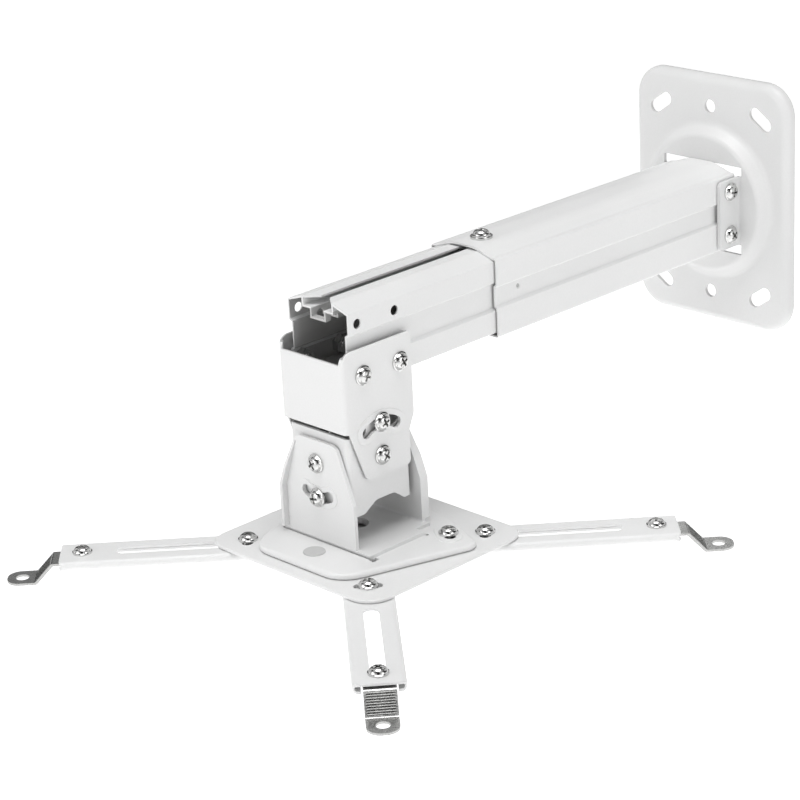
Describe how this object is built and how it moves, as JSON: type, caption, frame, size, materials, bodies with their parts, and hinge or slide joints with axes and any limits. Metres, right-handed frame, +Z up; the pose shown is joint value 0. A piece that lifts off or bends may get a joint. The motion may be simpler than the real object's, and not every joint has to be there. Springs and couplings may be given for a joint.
{
  "type": "projector ceiling mount",
  "caption": "Telescopic steel arm with a wall plate, tilting and rolling head, swivelling hub plate and slotted arms with stepped feet that hold a projector.",
  "frame": {"origin": "centre of the wall plate on the wall surface, on the tube's axis", "axes": "+X out from the wall along the arm, +Z up, +Y to the side"},
  "size_m": [0.5043, 0.3275, 0.2283],
  "materials": {
    "white_coat": "satin powder coat",
    "zinc_screw": "bright zinc plated",
    "plated_foot": "zinc plated"
  },
  "bodies": {
    "wall_mount": {"wall_plate": "white_coat", "tab_screws": "zinc_screw", "tab_nuts": "zinc_screw", "outer_tube": "white_coat", "tube_lock_screw": "zinc_screw", "tube_lock_washer": "zinc_screw", "tube_lock_nut": "plated_foot"},
    "slide_arm": {"inner_tube": "white_coat", "saddle_bracket": "white_coat", "saddle_screws": "zinc_screw", "saddle_nuts": "zinc_screw"},
    "tilt_head": {"knuckle": "white_coat", "pitch_pivot_screws": "zinc_screw", "pitch_lock_screws": "zinc_screw", "pitch_nuts": "zinc_screw", "roll_pivot_screws": "zinc_screw", "roll_lock_screws": "zinc_screw", "roll_nuts": "zinc_screw"},
    "roll_head": {"yoke": "white_coat", "swivel_plate": "white_coat", "swivel_rivet": "white_coat", "swivel_washer": "zinc_screw"},
    "hub": {"hub_plate": "white_coat", "swivel_lock_screw": "zinc_screw", "swivel_lock_nut": "zinc_screw"},
    "arm_bolt_1": {"arm_screw_1": "zinc_screw", "arm_nut_1": "zinc_screw", "arm_washer_1": "zinc_screw"},
    "arm_1": {"arm_1": "white_coat"},
    "foot_bolt_1": {"foot_screw_1": "zinc_screw", "foot_nut_1": "zinc_screw"},
    "foot_1": {"foot_1": "plated_foot"},
    "arm_bolt_2": {"arm_screw_2": "zinc_screw", "arm_nut_2": "zinc_screw"},
    "arm_pivot_2": {"arm_washer_2": "zinc_screw"},
    "arm_2": {"arm_2": "white_coat", "foot_screw_2": "zinc_screw", "foot_nut_2": "zinc_screw"},
    "foot_2": {"foot_2": "plated_foot"},
    "arm_bolt_3": {"arm_screw_3": "zinc_screw", "arm_nut_3": "zinc_screw"},
    "arm_pivot_3": {"arm_washer_3": "zinc_screw"},
    "arm_3": {"arm_3": "white_coat", "foot_screw_3": "zinc_screw", "foot_nut_3": "zinc_screw"},
    "foot_3": {"foot_3": "plated_foot"},
    "arm_bolt_4": {"arm_screw_4": "zinc_screw", "arm_nut_4": "zinc_screw"},
    "arm_pivot_4": {"arm_washer_4": "zinc_screw"},
    "arm_4": {"arm_4": "white_coat", "foot_screw_4": "zinc_screw", "foot_nut_4": "zinc_screw"},
    "foot_4": {"foot_4": "plated_foot"}
  },
  "joints": [
    {"name": "arm_extend", "type": "slide", "parent": "wall_mount", "child": "slide_arm", "axis": [1, 0, 0], "range_m": [-0.07, 0.09]},
    {"name": "head_tilt", "type": "hinge", "parent": "slide_arm", "child": "tilt_head", "pos_m": [0.347, 0, -0.0683], "axis": [0, 1, 0], "range_deg": [-20, 20]},
    {"name": "head_roll", "type": "hinge", "parent": "tilt_head", "child": "roll_head", "pos_m": [0.3458, 0, -0.072], "axis": [1, 0, 0], "range_deg": [-25, 25]},
    {"name": "hub_swivel", "type": "hinge", "parent": "roll_head", "child": "hub", "pos_m": [0.3877, 0.008, -0.126], "axis": [0, 0, 1], "range_deg": [-3.8, 3.8]},
    {"name": "arm_shift_1", "type": "slide", "parent": "hub", "child": "arm_bolt_1", "axis": [-0.7272, 0.6864, 0], "range_m": [-0.005, 0.005]},
    {"name": "arm_swing_1", "type": "hinge", "parent": "arm_bolt_1", "child": "arm_1", "pos_m": [0.3946, 0.0602, -0.129], "axis": [0, 0, 1], "range_deg": [-60, 60]},
    {"name": "foot_slide_1", "type": "slide", "parent": "arm_1", "child": "foot_bolt_1", "axis": [0.6587, 0.7524, 0], "range_m": [-0.075, 0.002]},
    {"name": "foot_swivel_1", "type": "hinge", "parent": "foot_bolt_1", "child": "foot_1", "pos_m": [0.46416, 0.13966, -0.1316], "axis": [0, 0, 1], "range_deg": [-2.5, 2.5]},
    {"name": "arm_shift_2", "type": "slide", "parent": "hub", "child": "arm_bolt_2", "axis": [0.7272, 0.6864, 0], "range_m": [-0.005, 0.005]},
    {"name": "arm_swing_2", "type": "hinge", "parent": "arm_bolt_2", "child": "arm_pivot_2", "pos_m": [0.3946, -0.0432, -0.1304], "axis": [0, 0, 1], "range_deg": [-60, 60]},
    {"name": "arm_reach_2", "type": "slide", "parent": "arm_pivot_2", "child": "arm_2", "axis": [0.7314, -0.682, 0], "range_m": [-0.055, 0.0045]},
    {"name": "foot_swivel_2", "type": "hinge", "parent": "arm_2", "child": "foot_2", "pos_m": [0.46752, -0.1112, -0.1316], "axis": [0, 0, 1], "range_deg": [-15, 15]},
    {"name": "arm_shift_3", "type": "slide", "parent": "hub", "child": "arm_bolt_3", "axis": [-0.7272, -0.6864, 0], "range_m": [-0.005, 0.005]},
    {"name": "arm_swing_3", "type": "hinge", "parent": "arm_bolt_3", "child": "arm_pivot_3", "pos_m": [0.297, 0.0602, -0.1304], "axis": [0, 0, 1], "range_deg": [-60, 60]},
    {"name": "arm_reach_3", "type": "slide", "parent": "arm_pivot_3", "child": "arm_3", "axis": [-0.7373, 0.6756, 0], "range_m": [-0.055, 0.0045]},
    {"name": "foot_swivel_3", "type": "hinge", "parent": "arm_3", "child": "foot_3", "pos_m": [0.22135, 0.12952, -0.1316], "axis": [0, 0, 1], "range_deg": [-15, 15]},
    {"name": "arm_shift_4", "type": "slide", "parent": "hub", "child": "arm_bolt_4", "axis": [0.7272, -0.6864, 0], "range_m": [-0.005, 0.005]},
    {"name": "arm_swing_4", "type": "hinge", "parent": "arm_bolt_4", "child": "arm_pivot_4", "pos_m": [0.297, -0.0432, -0.1304], "axis": [0, 0, 1], "range_deg": [-60, 60]},
    {"name": "arm_reach_4", "type": "slide", "parent": "arm_pivot_4", "child": "arm_4", "axis": [-0.682, -0.7314, 0], "range_m": [-0.055, 0.0045]},
    {"name": "foot_swivel_4", "type": "hinge", "parent": "arm_4", "child": "foot_4", "pos_m": [0.22798, -0.11721, -0.1316], "axis": [0, 0, 1], "range_deg": [-15, 15]}
  ]
}
